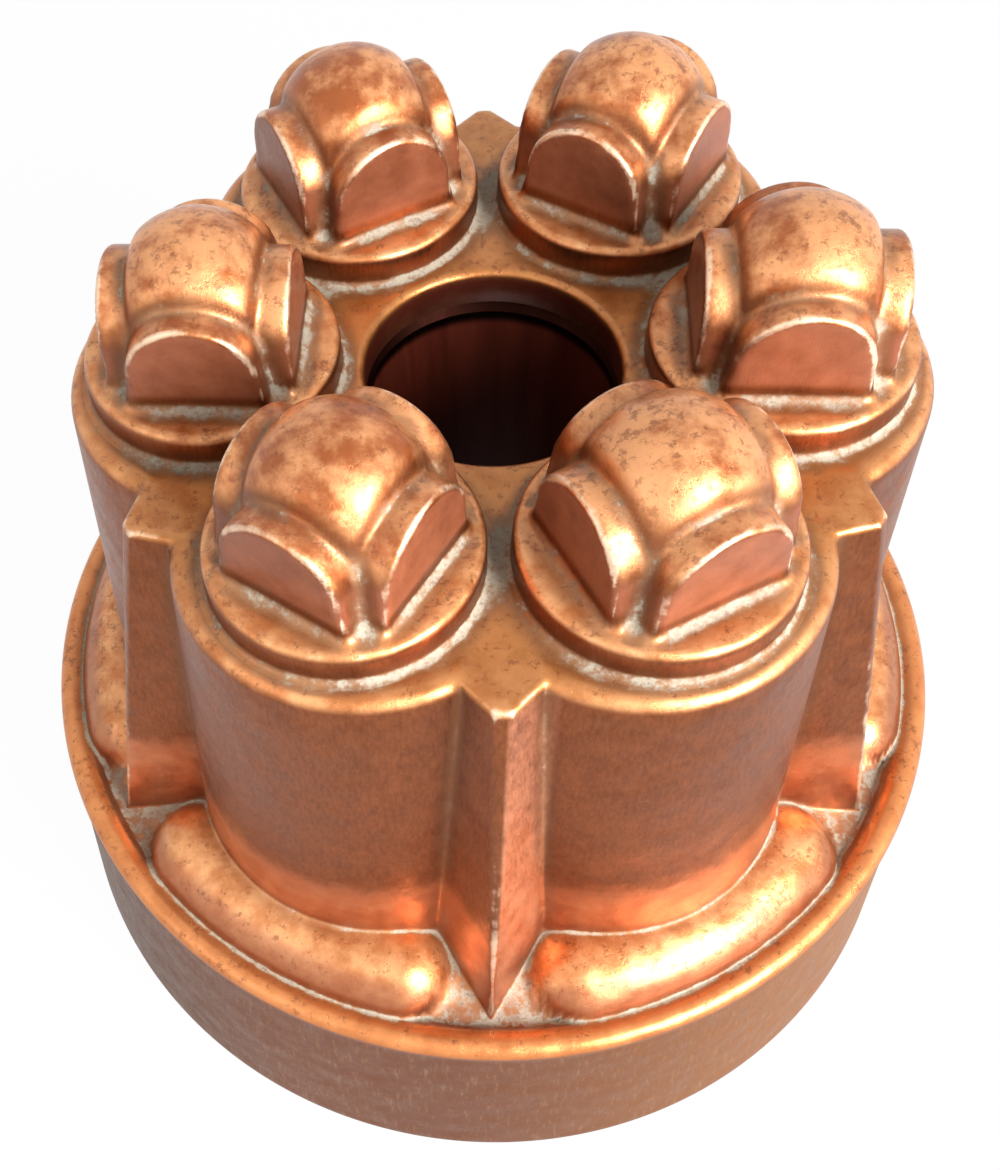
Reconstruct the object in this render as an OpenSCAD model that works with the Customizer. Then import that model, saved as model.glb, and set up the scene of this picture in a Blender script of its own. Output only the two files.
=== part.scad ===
// Copper jelly mould with six dormered domes round a centre tube.
// It stands on its open mouth with the crown up, as it is shown on a shelf.
// The origin is the middle of the mouth, +Z is the axis and -Y is the front.
// The crown and the band are one skin of sheet copper. Every outside form has
// its twin inside, one sheet thickness further in, so the mould is hollow.

/* [Sheet] */
// Thickness of the copper sheet
wall = 1.2; // [0.8:0.1:1.6]

/* [Band] */
// Outside radius of the open mouth, on which the mould stands
mouth_r = 68; // [66:0.5:72]
// Outside radius of the rounded shoulder above the band
shoulder_r = 65; // [64.8:0.1:66]
// How far the band stands back under the shoulder
neck_in = 0.6; // [0.4:0.1:1]
// Height of the shoulder's crest
shoulder_h = 36; // [30:0.5:42]
// Radius of the shoulder's rounding
shoulder_round = 1.8; // [1.5:0.1:2.4]

/* [Ledge] */
// Width of the shoulder, from its outside to the crease in front of the swags
shoulder_w = 3.7; // [3.6:0.1:4.4]
// Depth of the crease below the shoulder's crest
crease_drop = 2.5; // [2:0.1:3.5]
// Radius at which the ledge passes under the lobes
ledge_in_r = 47; // [40:1:50]
// Rise of the ledge from the crease to the lobes
ledge_rise = 4.5; // [2:0.5:7]
// How far the swags run past the crease into the shoulder
swag_past = 0.3; // [0.2:0.1:0.9]
// Radius of a swag's round section
swag_r = 7.5; // [6.5:0.1:8.5]
// Half angle between the centres of a swag's round ends
swag_span = 17.3; // [12:0.1:19]

/* [Lobes] */
// Height of the flat deck on top of the lobes
deck_h = 92.5; // [84:0.5:104]
// Distance from the mould's axis to a lobe's axis
lobe_d = 29; // [28:0.5:30]
// Radius of a lobe at the deck
lobe_r = 21; // [20:0.25:22]
// Radius of a lobe where it meets the ledge
lobe_foot_r = 25.8; // [24.5:0.1:27]
// Rounding of a lobe's top edge
lobe_edge = 1.6; // [1.2:0.1:2.4]

/* [Pilasters] */
// Reach of a pilaster's nose at the deck
nose_top_r = 46.8; // [46:0.1:48]
// Distance from the crease to a pilaster's nose at the ledge
nose_foot_in = 1.5; // [0.8:0.1:4]
// Width of the flat on the nose at the deck
nose_top_w = 1.8; // [1.4:0.1:2.4]
// Width of the nose at the ledge, where it is nearly sharp
nose_foot_w = 0.2; // [0.2:0.1:0.6]
// Fall of a flank for each millimetre of half width, at the deck
flank_top = 1.05; // [0.9:0.05:1.2]
// Fall of a flank for each millimetre of half width, at the ledge
flank_foot = 1.4; // [1.2:0.05:1.6]

/* [Domes] */
// Distance from the mould's axis to a dome's axis
dome_d = 32.5; // [32:0.1:33]
// Radius of the round plinth under a dome
plinth_r = 15; // [14.5:0.1:15.4]
// Height of the plinth above the deck
plinth_h = 4.6; // [3.5:0.1:6]
// Rounding of the plinth's upper edge
plinth_edge = 1; // [0.6:0.1:1.4]
// Radius of the cove at the plinth's foot
plinth_cove = 1; // [0.5:0.1:1.4]
// Radius of the dome's round top
dome_r = 9.7; // [9:0.1:10.2]
// Distance from the dome's axis to the flat sides behind the dormers
dome_side = 7.2; // [6.6:0.1:7.8]
// Height of the dome's crest above its plinth
dome_h = 16.5; // [15:0.5:18]
// Turn of the dormers from straight outward
dome_turn = -2.5; // [-15:0.5:15]

/* [Dormers] */
// Half width of a dormer at its foot
dormer_foot = 8.2; // [7.8:0.1:8.6]
// Lean of a dormer's sides, in degrees from upright
dormer_lean = 11; // [8:0.5:14]
// Radius of a dormer's round roof
dormer_r = 7.4; // [7.2:0.1:7.8]
// Height of the roof's axis above the plinth
dormer_rise = 4.3; // [3.8:0.1:4.8]
// Distance from the dome's axis to a dormer's flat face
dormer_reach = 11.1; // [10.5:0.1:11.5]
// Rounding between a dormer's roof and its face
dormer_edge = 0.7; // [0.5:0.1:1]

/* [Centre tube] */
// Radius of the hole in the deck
hole_r = 15; // [14:0.25:15.5]
// Rounding where the deck turns down into the hole
hole_edge = 1; // [0.6:0.1:1.2]
// Depth of the turned-down collar round the hole
collar_h = 5; // [3:0.5:8]
// Thickness of the tube's wall
tube_wall = 1; // [0.8:0.1:1.4]
// Film of solder between the collar and the tube's socket
solder_gap = 0.1; // [0.1:0.05:0.2]
// Inside radius of the tube's narrow end
tube_end_r = 12; // [10:0.5:14]
// Height of the tube's narrow end above the mouth
tube_end_h = 5; // [3:0.5:12]

/* [Hidden] */
$fn = 72;
copper = [0.72, 0.44, 0.28];
dark_copper = [0.42, 0.22, 0.16];
// The lobes, domes and swags, and the pilasters between them
fold = 6;
lobe_step = 360 / fold;
front = -90;
// How far a cut or a buried end runs past what it has to clear
past = 1;
// Depths of the two pairs of dormers in their plinth, unlike so that no ends share a plane
pair_depths = [1.25, 1.5];
// The pair across stands this much higher, so that no four faces meet in one point
pair_lift = 0.1;
neck_r = shoulder_r - neck_in;
bead_z = shoulder_h - shoulder_round;
crease_r = shoulder_r - shoulder_w;
crease_h = shoulder_h - crease_drop;
ledge_h = crease_h + ledge_rise;
// Widening of the band for each millimetre down
band_flare = (mouth_r - neck_r) / bead_z;
swag_d = crease_r + swag_past - swag_r;
nose_foot_r = crease_r - nose_foot_in;
plinth_z = deck_h + plinth_h;
// Under this radius an inside edge is left sharp, as tinning fills it
least_edge = 0.5;
// Narrowing of a lobe for each millimetre up
lobe_draft = (lobe_foot_r - lobe_r) / (deck_h - crease_h);
// Slants of the two bevels on a lobe's edge, in degrees from upright
steep_bevel = 30;
shallow_bevel = 60;
// How much fuller a swag's ends are than the roll between them
swag_swell = 0.15;
// The buried back of a pilaster stands on the line between two lobe axes
pilaster_back_r = lobe_d * cos(lobe_step / 2) + lobe_r / 2;

// The rounding left of an edge after the skin's inside is set back by t
function set_back(edge, t) = edge - t < least_edge ? 0 : edge - t;

// A bar in the profile plane from the axis out to r, with its upper corner rounded
module round_top_bar(r, low, top, edge) {
    translate([0, low]) square([r, top - low - edge]);
    translate([0, low]) square([r - edge, top - low]);
    if (edge > 0) translate([r - edge, top - edge]) circle(edge);
}

// Band, shoulder and sloping ledge, turned round the mould's axis
module band_and_ledge(t) {
    down = t > 0 ? past : 0;
    rotate_extrude() {
        polygon([
            [0, -down],
            [mouth_r + band_flare * down - t, -down],
            [neck_r - t, bead_z],
            [crease_r, crease_h - t],
            [ledge_in_r, ledge_h - t],
            [0, ledge_h - t]
        ]);
        if (set_back(shoulder_round, t) > 0)
            translate([shoulder_r - shoulder_round, bead_z]) circle(set_back(shoulder_round, t));
    }
}

// Six cones on the lobes' axes, of radius r at the deck and wider by slope going down.
// Each runs its own distance past the deck and the crease, so no two ends share a plane.
module lobe_cones(t, r, slope) {
    rise = deck_h - t - crease_h;
    for (i = [0 : fold - 1]) {
        more = past + i * past / fold;
        rotate([0, 0, front + (i + 0.5) * lobe_step]) translate([lobe_d, 0, crease_h - more])
            cylinder(r1 = r + slope * (rise + more), r2 = r - slope * more, h = rise + 2 * more);
    }
}

// Radius at the deck of a cone that touches a lobe's rounded edge at a slant from upright
function bevel_r(slant) = lobe_r - lobe_edge + lobe_edge * (1 - sin(slant)) / cos(slant);

// The lobes' drafted drums, cut flat by the deck
module lobe_drums(t) {
    intersection() {
        lobe_cones(t, lobe_r - t, lobe_draft);
        translate([0, 0, crease_h - past]) cylinder(r = mouth_r, h = deck_h - t - crease_h + past);
    }
}

// Lobes and the deck between them. Outside, two bevels round the deck's edge;
// inside the skin that edge is sharp.
module lobes(t) {
    if (t > 0) {
        lobe_drums(t);
    } else {
        intersection() {
            lobe_drums(t);
            lobe_cones(t, bevel_r(steep_bevel), tan(steep_bevel));
            lobe_cones(t, bevel_r(shallow_bevel), tan(shallow_bevel));
        }
    }
    translate([0, 0, crease_h]) cylinder(r = lobe_d * cos(lobe_step / 2), h = deck_h - t - crease_h);
}

// One swag on the ledge: a round roll bent to the ledge, with fuller round ends
module swag(t) {
    rotate([0, 0, -swag_span]) rotate_extrude(angle = 2 * swag_span)
        translate([swag_d, 0]) circle(swag_r - t);
    for (side = [-1, 1])
        rotate([0, 0, side * swag_span]) translate([swag_d, 0, 0]) sphere(swag_r + swag_swell - t);
}

// A solid between a low and a high ring of points, both anticlockwise from above
module between_rings(low, high) {
    n = len(low);
    polyhedron(
        points = concat(low, high),
        faces = concat(
            [for (k = [1 : n - 2]) [0, k, k + 1]],
            [for (k = [1 : n - 2]) [n, n + k + 1, n + k]],
            [for (k = [0 : n - 1]) [k, n + k, n + (k + 1) % n]],
            [for (k = [0 : n - 1]) [k, n + (k + 1) % n, (k + 1) % n]]
        )
    );
}

// Corners of a pilaster's section: nose, then the buried back, set back by t
function pilaster_section(nose_r, nose_w, flank, t, z) =
    let (slant = sqrt(1 + flank * flank))
    let (sharp_r = nose_r + flank * nose_w / 2 - t * slant)
    let (r = min(nose_r - t, sharp_r - flank * nose_foot_w / 2))
    let (half_nose = (sharp_r - r) / flank)
    let (half_back = (sharp_r - pilaster_back_r) / flank)
    [
        [r, -half_nose, z],
        [r, half_nose, z],
        [pilaster_back_r, half_back, z],
        [pilaster_back_r, -half_back, z]
    ];

// One pilaster: a V with a narrow nose that leans out and sharpens going down
module pilaster(t) {
    between_rings(
        pilaster_section(nose_foot_r, nose_foot_w, flank_foot, t, crease_h - past),
        pilaster_section(nose_top_r, nose_top_w, flank_top, t, deck_h - t)
    );
}

// Plinth with a cove at its foot
module plinth(t) {
    cove = plinth_cove + t;
    rotate_extrude() {
        round_top_bar(plinth_r - t, deck_h - t - past, plinth_z - t, set_back(plinth_edge, t));
        translate([plinth_r - t, deck_h - t]) difference() {
            translate([-past, -past]) square(cove + past);
            translate([cove, cove]) circle(cove);
            translate([cove - past, -2 * past]) square([2 * past, 2 * past]);
        }
    }
}

// Dome: a round-topped drum with four flat sides, against which the dormers stand
module dome(t) {
    dome_z = plinth_z + dome_h - dome_r;
    side = dome_side - t;
    intersection() {
        rotate_extrude() {
            translate([0, plinth_z - t - past]) square([dome_r - t, dome_h - dome_r + t + past]);
            intersection() {
                translate([0, dome_z]) circle(dome_r - t);
                translate([0, dome_z - past]) square([dome_r, dome_r + 2 * past]);
            }
        }
        translate([-side, -side, plinth_z - t - 2 * past]) cube([2 * side, 2 * side, dome_h + 4 * past]);
    }
}

// Plan of the sides of two opposite dormers, at z above the axis of their roof
function dormer_sides(t, z) =
    let (reach = dormer_reach - t)
    let (edge = set_back(dormer_edge, t))
    let (half = dormer_foot - (dormer_rise + z) * tan(dormer_lean) - t / cos(dormer_lean))
    let (bevelled = [
        [reach - edge, -half, z],
        [reach, edge - half, z],
        [reach, half - edge, z],
        [reach - edge, half, z]
    ])
    let (end = edge > 0 ? bevelled : [[reach, -half, z], [reach, half, z]])
    concat(end, [for (corner = end) [-corner.x, -corner.y, z]]);

// Two opposite dormers: one round roof on leaning sides that runs through the dome
// and is buried in the plinth
module dormer_pair(t, buried) {
    edge = set_back(dormer_edge, t);
    r = dormer_r - t;
    reach = dormer_reach - t;
    translate([0, 0, plinth_z + dormer_rise]) {
        rotate([0, 90, 0]) rotate_extrude() {
            translate([0, -reach]) square([r - edge, 2 * reach]);
            translate([0, edge - reach]) square([r, 2 * (reach - edge)]);
            if (edge > 0) for (side = [-1, 1])
                translate([r - edge, side * (reach - edge)]) circle(edge);
        }
        between_rings(
            dormer_sides(t, -dormer_rise - t - buried),
            dormer_sides(t, r * sin(dormer_lean))
        );
    }
}

// The whole mould as one solid, with every face set back by t
module form(t) {
    band_and_ledge(t);
    lobes(t);
    for (i = [0 : fold - 1]) {
        rotate([0, 0, front + (i + 0.5) * lobe_step]) {
            translate([0, 0, crease_h]) swag(t);
            translate([dome_d, 0, 0]) rotate([0, 0, dome_turn]) {
                plinth(t);
                dome(t);
                for (k = [0, 1])
                    translate([0, 0, k * pair_lift]) rotate([0, 0, 90 * k]) dormer_pair(t, pair_depths[k]);
            }
        }
        rotate([0, 0, front + i * lobe_step]) pilaster(t);
    }
}

// The deck turned down into the hole: a short collar with a rounded lip
module collar_blank() {
    translate([0, 0, deck_h - collar_h]) cylinder(r = hole_r + wall, h = collar_h - wall / 2);
}

module hole_cut() {
    translate([0, 0, -past]) cylinder(r = hole_r, h = deck_h + 2 * past);
    rotate_extrude() translate([hole_r, deck_h - hole_edge]) difference() {
        translate([-past, 0]) square([hole_edge + past, hole_edge + past]);
        translate([hole_edge, 0]) circle(hole_edge);
    }
}

// Struck crown and band: one skin of copper sheet, open at the mouth
module mould_body() {
    color(copper) difference() {
        union() {
            difference() {
                form(0);
                form(wall);
            }
            collar_blank();
        }
        hole_cut();
    }
}

// Tapered tube, its socket soldered over the collar from inside
module centre_tube() {
    socket_r = hole_r + wall + solder_gap;
    top = deck_h - wall;
    seat = deck_h - collar_h - solder_gap;
    step = socket_r - hole_r;
    color(dark_copper) rotate_extrude() polygon([
        [tube_end_r, tube_end_h],
        [tube_end_r + tube_wall, tube_end_h],
        [hole_r + tube_wall, seat - step],
        [socket_r + tube_wall, seat],
        [socket_r + tube_wall, top],
        [socket_r, top],
        [socket_r, seat],
        [hole_r, seat - step]
    ]);
}

mould_body();
centre_tube();
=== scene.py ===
# %% [markdown]
# # A struck copper jelly mould
#
# The real mould is sheet copper, struck over a steel former, so its outside is one
# unbroken skin: six fluted lobes, each with a dome and four small barrel roofs on it,
# a sloping ledge with rolled swags, a rounded shoulder and a plain flared band.
#
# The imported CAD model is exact, but its edges are as sharp as on a drawing. In struck
# copper every corner has a small radius, and every crease holds a little grey polish.
# A bevel on the CAD's mesh would fail where creases cross at free angles, and
# subdivision would melt the crisp forms. So this lesson keeps the CAD sizes, writes
# the same form as one formula with rounded joins, and lays a dense mesh on it.

from math import cos, pi, radians, sin, sqrt, tau

import bmesh
import bpy
import numpy as np
from mathutils import Matrix, Vector
from mathutils.geometry import delaunay_2d_cdt


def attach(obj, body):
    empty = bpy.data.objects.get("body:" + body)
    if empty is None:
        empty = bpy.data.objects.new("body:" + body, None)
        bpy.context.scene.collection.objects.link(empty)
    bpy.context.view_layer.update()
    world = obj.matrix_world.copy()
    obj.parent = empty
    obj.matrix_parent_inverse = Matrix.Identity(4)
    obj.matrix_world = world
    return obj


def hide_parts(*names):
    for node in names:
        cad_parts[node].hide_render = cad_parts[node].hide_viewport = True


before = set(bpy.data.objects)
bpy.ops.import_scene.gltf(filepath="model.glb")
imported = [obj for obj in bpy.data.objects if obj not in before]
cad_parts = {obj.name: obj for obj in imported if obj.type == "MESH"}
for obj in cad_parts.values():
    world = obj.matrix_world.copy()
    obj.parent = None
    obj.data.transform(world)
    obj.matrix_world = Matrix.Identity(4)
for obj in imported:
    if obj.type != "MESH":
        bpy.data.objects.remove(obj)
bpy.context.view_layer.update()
MM = 0.001
print("CAD nodes:", sorted(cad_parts))

# %% [markdown]
# ## The mould's sizes
#
# All sizes are the CAD model's, in millimetres. A few joins are rounder than there, as
# struck metal is: the shoulder's inner side, the hollow at each dormer's foot, the
# swell of the domes' sides and the crown of the plinths' tops. The mould repeats six
# times, so nearly everything can be worked out in the slice of one lobe, which lies
# between two pilasters.

# %% Sizes
FOLD = 6
STEP = tau / FOLD
FRONT = -pi / 2
WALL = 1.2

MOUTH_R = 68.0
NECK_R = 64.4
BEAD_R = 63.2
BEAD_Z = 34.2
BEAD_ROUND = 1.8
CROWN_ROUND = 2.6
CREASE_R = 61.3
CREASE_Z = 33.5
LEDGE_IN_R = 47.0
LEDGE_Z = 38.0
SWAG_D = 54.1
SWAG_R = 7.5
SWAG_SPAN = radians(17.3)

DECK_Z = 92.5
LOBE_D = 29.0
LOBE_R = 21.0
LOBE_FOOT_R = 25.8
LOBE_EDGE = 1.6
LOBE_DRAFT = (LOBE_FOOT_R - LOBE_R) / (DECK_Z - CREASE_Z)

PILASTER_FOOT_Z = 32.5
NOSE_TOP_R = 46.8
NOSE_FOOT_R = 59.8
NOSE_TOP_HALF = 0.9
NOSE_FOOT_HALF = 0.1
FLANK_TOP = 1.05
FLANK_FOOT = 1.4
PILASTER_EDGE = 0.7
BACK_R = LOBE_D * cos(STEP / 2) + LOBE_R / 2

DOME_D = 32.5
PLINTH_R = 15.0
PLINTH_H = 4.6
PLINTH_EDGE = 1.0
PLINTH_CROWN = 0.35
COVE = 1.0
DOME_R = 9.7
DOME_SIDE = 7.2
DOME_RIDGE = 1.6
SIDE_SWELL = 0.5
DOME_H = 16.5
DORMER_FOOT = 8.2
DORMER_LEAN = radians(11)
DORMER_R = 7.4
DORMER_RISE = 4.3
DORMER_REACH = 11.1
DORMER_EDGE = 0.7
FOOT_HOLLOW = 1.1
TURN = radians(-2.5)

HOLE_R = 15.0
HOLE_EDGE = 1.0
COLLAR_H = 5.0
PLINTH_Z = DECK_Z + PLINTH_H

# %% [markdown]
# ## The form as a formula
#
# A distance formula says how far a point is from a surface: negative inside the outer
# skin, positive outside. Forms are joined by taking the smaller distance. Taking it
# with a round corner leaves the small radius that a struck join has, and the same
# trick the other way round rounds an edge.

# %% Rounded joins and rounded edges
def round_edge(a, b, r):
    """The part inside both a and b, with its edge rounded to radius r."""
    corner = np.hypot(np.maximum(a + r, 0), np.maximum(b + r, 0))
    return np.minimum(np.maximum(a, b), -r) + corner


def round_join(a, b, r):
    """Both a and b as one form, with a hollow of radius r where they meet."""
    return -round_edge(-a, -b, r)


# %% [markdown]
# ## Lobes and pilasters
#
# A lobe is a drum that narrows upwards. A pilaster is a V whose nose leans out and
# grows sharper towards the ledge. Every point is folded into half of one slice, so
# each form is written only once, in the slice's own u and v.

# %% The tower under the deck
NOSE_EDGE = 0.2
PILASTER_HOLLOW = 0.55
SHARPEST_HALF = 0.02


def fold_in(x, y):
    """Angle from the middle of the nearest lobe, from 0 to half a step."""
    return np.abs(np.mod(np.arctan2(y, x) - FRONT, STEP) - STEP / 2)


def lobe_form(u, v, z, angle):
    """A drafted drum whose axis stands at this angle from the slice's middle."""
    away = np.hypot(u - LOBE_D * cos(angle), v - LOBE_D * sin(angle))
    return (away - LOBE_R - LOBE_DRAFT * (DECK_Z - z)) / sqrt(1 + LOBE_DRAFT**2)


def between(top, foot, z):
    """A size of the pilaster at height z, from its sizes at the deck and the foot."""
    return top + (foot - top) * (DECK_Z - z) / (DECK_Z - PILASTER_FOOT_Z)


def pilaster_shape(z):
    """Reach and half width of the nose, and the flank's slope, at height z."""
    nose = between(NOSE_TOP_R, NOSE_FOOT_R, z)
    half = np.maximum(between(NOSE_TOP_HALF, NOSE_FOOT_HALF, z), SHARPEST_HALF)
    back_top = (NOSE_TOP_R - BACK_R) / FLANK_TOP + NOSE_TOP_HALF
    back_foot = (NOSE_FOOT_R - BACK_R) / FLANK_FOOT + NOSE_FOOT_HALF
    return nose, half, (nose - BACK_R) / (between(back_top, back_foot, z) - half)


def pilaster_form(u, v, z):
    out = u * cos(STEP / 2) + v * sin(STEP / 2)
    side = np.abs(v * cos(STEP / 2) - u * sin(STEP / 2))
    nose, half, slope = pilaster_shape(z)
    flank = (out - nose + slope * (side - half)) / np.sqrt(1 + slope**2)
    return round_edge(flank, out - nose, NOSE_EDGE)


def tower_form(rho, fold, z):
    u, v = rho * np.cos(fold), rho * np.sin(fold)
    lobes = np.minimum(lobe_form(u, v, z, 0), lobe_form(u, v, z, STEP))
    lobes = np.minimum(lobes, rho - LOBE_D * cos(STEP / 2))
    lobes = round_edge(lobes, z - DECK_Z, LOBE_EDGE)
    pilaster = round_edge(pilaster_form(u, v, z), z - DECK_Z, PILASTER_EDGE)
    return round_join(lobes, pilaster, PILASTER_HOLLOW)


# %% [markdown]
# ## Band, shoulder, ledge and swags
#
# The band flares a little towards the mouth. Its shoulder is a bead that falls more
# gently on its inner side, and inside the bead the ledge slopes up to the lobes. On it
# lies one swag for each lobe, a round roll bent to the ledge, with round ends.

# %% The base
BAND_EDGE = 0.2
BEAD_HOLLOW = 0.35
SWAG_HOLLOW = 0.4
TOWER_HOLLOW = 0.5


def ledge_at(r):
    """Height of the sloping ledge at radius r."""
    return CREASE_Z + (LEDGE_Z - CREASE_Z) * (CREASE_R - r) / (CREASE_R - LEDGE_IN_R)


def from_swag(r, fold):
    """Distance on plan from the swag's middle line, squared."""
    past_end = np.maximum(fold - SWAG_SPAN, 0)
    return r**2 + SWAG_D**2 - 2 * r * SWAG_D * np.cos(past_end)


def swag_form(rho, fold, z):
    return np.sqrt(np.maximum(from_swag(rho, fold), 0) + (z - CREASE_Z) ** 2) - SWAG_R


def base_form(rho, fold, z):
    flare = (MOUTH_R - NECK_R) / BEAD_Z
    side = (rho - MOUTH_R + flare * z) / sqrt(1 + flare**2)
    rim = CREASE_Z + (BEAD_Z - CREASE_Z) * (rho - CREASE_R) / (NECK_R - CREASE_R)
    top = np.where(rho < CREASE_R, np.minimum(ledge_at(rho), LEDGE_Z), rim)
    band = round_edge(side, z - top, BAND_EDGE)
    bead = np.hypot(rho - BEAD_R, z - BEAD_Z) - BEAD_ROUND
    crown_z = BEAD_Z + BEAD_ROUND - CROWN_ROUND
    crown = np.hypot(rho - BEAD_R, z - crown_z) - CROWN_ROUND
    bead = np.minimum(bead, np.maximum(crown, rho - BEAD_R))
    return round_join(round_join(band, bead, BEAD_HOLLOW), swag_form(rho, fold, z), SWAG_HOLLOW)


def body_form(p):
    """Tower and base together, at points p of shape (n, 3)."""
    rho, fold = np.hypot(p[:, 0], p[:, 1]), fold_in(p[:, 0], p[:, 1])
    tower, base = tower_form(rho, fold, p[:, 2]), base_form(rho, fold, p[:, 2])
    return round_join(tower, base, TOWER_HOLLOW)


# %% [markdown]
# ## Domes with dormers
#
# On each lobe stands a low round plinth with a cove at its foot, and on that a dome
# with four flat sides. A dormer stands against each side: a round roof on leaning
# sides with a flat face. Each opposite pair is one arch that runs through the dome.
# The foot of each face is a broad hollow, the face stands back by part of it, and
# the dome's flat sides swell out a little.

# %% One dome in its own frame, with its plinth's top at height 0
FACE_BACK = FOOT_HOLLOW * 0.4
PAIR_HOLLOW = 0.8
ROOF_HOLLOW = 0.6
FAR_AWAY = 99.0


def dormer_form(along, across, h):
    """Two opposite dormers: along their common axis, across it and above the plinth."""
    roof = np.hypot(across, h - DORMER_RISE) - DORMER_R
    side = (across - DORMER_FOOT) * cos(DORMER_LEAN) + h * sin(DORMER_LEAN)
    side_top = h - DORMER_RISE - DORMER_R * sin(DORMER_LEAN)
    arch = np.minimum(roof, np.maximum(side, side_top))
    return round_edge(arch, along - DORMER_REACH + FACE_BACK, DORMER_EDGE)


def dome_form(p):
    x, y, h = np.abs(p[:, 0]), np.abs(p[:, 1]), p[:, 2]
    rho = np.hypot(x, y)
    crowned = h + PLINTH_CROWN * (rho / PLINTH_R) ** 3
    plinth = round_edge(rho - PLINTH_R, crowned, PLINTH_EDGE)
    drum = np.hypot(rho, np.maximum(h - DOME_H + DOME_R, 0)) - DOME_R
    dome = round_edge(drum, np.maximum(x, y) - DOME_SIDE - SIDE_SWELL, DOME_RIDGE)
    roofs = round_join(dormer_form(x, y, h), dormer_form(y, x, h), PAIR_HOLLOW)
    return round_join(plinth, round_join(roofs, dome, ROOF_HOLLOW), FOOT_HOLLOW)


def dome_on_deck(p):
    return round_join(dome_form(p), p[:, 2] + PLINTH_H, COVE)


def lobe_angle(i):
    return FRONT + (i + 0.5) * STEP


def dome_turn(i):
    return lobe_angle(i) + TURN


def dome_foot(i):
    """The middle of dome i on its plinth."""
    a = lobe_angle(i)
    return np.array([DOME_D * cos(a), DOME_D * sin(a), PLINTH_Z])


def turned(p, angle):
    """Points p turned about the axis by angle."""
    c, s = cos(angle), sin(angle)
    return np.column_stack([c * p[:, 0] - s * p[:, 1], s * p[:, 0] + c * p[:, 1], p[:, 2]])


def mould_form(p):
    """The whole outer skin."""
    domes = np.full(len(p), FAR_AWAY)
    for i in range(FOLD):
        domes = np.minimum(domes, dome_form(turned(p - dome_foot(i), -dome_turn(i))))
    return round_join(body_form(p), domes, COVE)


print("Crest of a dome at", PLINTH_Z + DOME_H, "mm")

# %% [markdown]
# ## Finding the surface
#
# A ray starts inside the metal's outer skin and walks out. The formula says how far
# it may go at each step without passing the surface, so some fifty steps land on it.
# With a depth it stops that far below the surface, which gives the sheet's inside.
# Marching cubes would need no rays, but its even grid blurs every sharp edge.

# %% Rays
RAY_STEPS = 48
STRIDE = 0.92


def meet(form, start, heading, depth=0.0):
    """The points where rays from start along heading leave the form, set back by depth."""
    t = np.zeros(len(start))
    for _ in range(RAY_STEPS):
        t -= STRIDE * (form(start + heading * t[:, None]) + depth)
    return start + heading * t[:, None]


# %% [markdown]
# ## A net for half a lobe
#
# The net's columns follow the creases: some cover the lobe, some the pilaster's flank
# and some its nose. Its rows go over the deck's edge, down the wall, out over the
# swag, over the bead and down the band, closer together where the form turns.

# %% Where the columns stand
LOBE_COLUMNS = 20
FLANK_COLUMNS = 10
NOSE_COLUMNS = 2
CROWDING = 1.35
FINE_ANGLES = 1200


def wall_reach(fold, z):
    """Radius of the lobe and of the pilaster in the direction fold, at height z."""
    r = LOBE_R + LOBE_DRAFT * (DECK_Z - z)
    lobe = LOBE_D * np.cos(fold) + np.sqrt(np.maximum(r**2 - (LOBE_D * np.sin(fold)) ** 2, 0))
    nose, half, slope = pilaster_shape(z)
    off = STEP / 2 - fold
    flank = (nose + slope * half) / (np.cos(off) + slope * np.sin(off))
    return lobe, np.minimum(flank, nose / np.cos(off))


def columns_at(z):
    """Angles of the net's columns at height z, from the lobe's middle to the nose."""
    fine = np.linspace(0, STEP / 2, FINE_ANGLES)
    lobe, pilaster = wall_reach(fine, z)
    crease = fine[np.argmax(pilaster > lobe)]
    nose, half, _ = pilaster_shape(z)
    corner = STEP / 2 - np.arctan2(half, nose)
    lobe_part = crease * (1 - (1 - np.linspace(0, 1, LOBE_COLUMNS + 1)) ** CROWDING)
    ease = (1 - np.cos(np.linspace(0, pi, FLANK_COLUMNS + 1))) / 2
    flank_part = crease + (corner - crease) * ease
    nose_part = np.linspace(corner, STEP / 2, NOSE_COLUMNS + 1)
    return np.concatenate([lobe_part, flank_part[1:], nose_part[1:]])


print("Columns in a whole lobe:", 2 * (LOBE_COLUMNS + FLANK_COLUMNS + NOSE_COLUMNS))

# %% [markdown]
# Each row needs, for every column, a point to aim at in the column's upright plane and
# a heading there. The ray starts some millimetres behind that point.

# %% The rows, from the deck outwards
GROOVE_R = 61.4
BEHIND = 6.0
CREASE_RISES = ((5, 0), (3.7, 0), (2.6, 4), (1.8, 10), (1.2, 18), (0.75, 26), (0.4, 34))
BAND_HEIGHTS = (32.4, 31.6, 29.5, 26, 21, 15, 9, 4, 1.2, 0.35)
STEEPEST = 115
WALL_TOP = 0.5
WALL_FOOT = 6.5


def base_top(r, fold):
    """Height of the ledge or the swag at radius r."""
    swag = CREASE_Z + np.sqrt(np.maximum(SWAG_R**2 - from_swag(r, fold), 0))
    return np.maximum(ledge_at(r), swag)


def foot_of_wall(columns):
    """Radius and height where the wall meets the ledge or the swag."""
    z = np.full(len(columns), LEDGE_Z)
    for _ in range(20):
        r = np.maximum(*wall_reach(columns, z))
        z = base_top(r, columns)
    return r, z


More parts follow.
